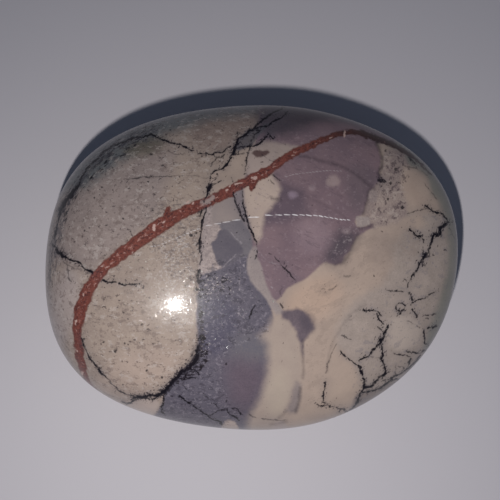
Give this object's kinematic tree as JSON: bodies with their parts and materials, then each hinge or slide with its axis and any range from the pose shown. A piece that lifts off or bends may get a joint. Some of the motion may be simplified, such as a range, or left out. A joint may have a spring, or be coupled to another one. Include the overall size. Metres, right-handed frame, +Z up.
{
  "type": "porcelain jasper tumbled stone",
  "caption": "Domed oval tumbled stone of polished porcelain jasper with a slightly lobed outline, resting on a small flat spot.",
  "frame": {"origin": "on the surface the stone rests on, under the middle of its bounding box", "axes": "+X along the longest side, towards the lower and narrower end; +Y across, away from the picture's lower edge; +Z up, out of the domed face"},
  "size_m": [0.045, 0.0354, 0.0182],
  "materials": {
    "polished_jasper": "tumbled to a gloss; beige, cream and mauve patches, a red-brown vein and dark healed cracks"
  },
  "bodies": {
    "root": {"stone": "polished_jasper"}
  },
  "joints": []
}
